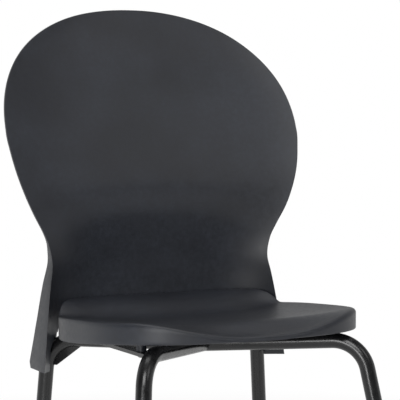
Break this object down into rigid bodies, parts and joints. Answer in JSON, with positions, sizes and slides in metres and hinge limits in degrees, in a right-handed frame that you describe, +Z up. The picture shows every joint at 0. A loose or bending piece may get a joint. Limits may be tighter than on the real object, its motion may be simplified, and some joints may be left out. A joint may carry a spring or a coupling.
{
  "type": "choir chair",
  "caption": "Stacking choir chair: a wide balloon-shaped moulded back with skirts and a separate moulded seat on a black bent steel tube frame.",
  "frame": {"origin": "on the floor, under the middle of the chair's bounding box", "axes": "+Z up; the sitter faces -Y and the sitter's right is -X"},
  "size_m": [0.4886, 0.5163, 0.8813],
  "materials": {
    "shell": "satin moulded, charcoal",
    "frame": "gloss black powder coat",
    "trim": "moulded, black",
    "fasteners": "zinc plated"
  },
  "bodies": {
    "root": {"back_shell": "shell", "seat_shell": "shell", "frame_tube_long": "frame", "frame_tube_rear_right": "frame", "frame_tube_front_left": "frame", "side_bar_right": "frame", "side_bar_left": "frame", "gusset_rear_right": "frame", "gusset_rear_left": "frame", "back_upright_right": "frame", "back_upright_left": "frame", "upright_cap_right": "trim", "upright_cap_left": "trim", "foot_front_right": "trim", "foot_front_left": "trim", "foot_rear_right": "trim", "foot_rear_left": "trim", "seat_screws": "fasteners", "seat_washers": "fasteners", "back_screws": "fasteners"}
  },
  "joints": []
}
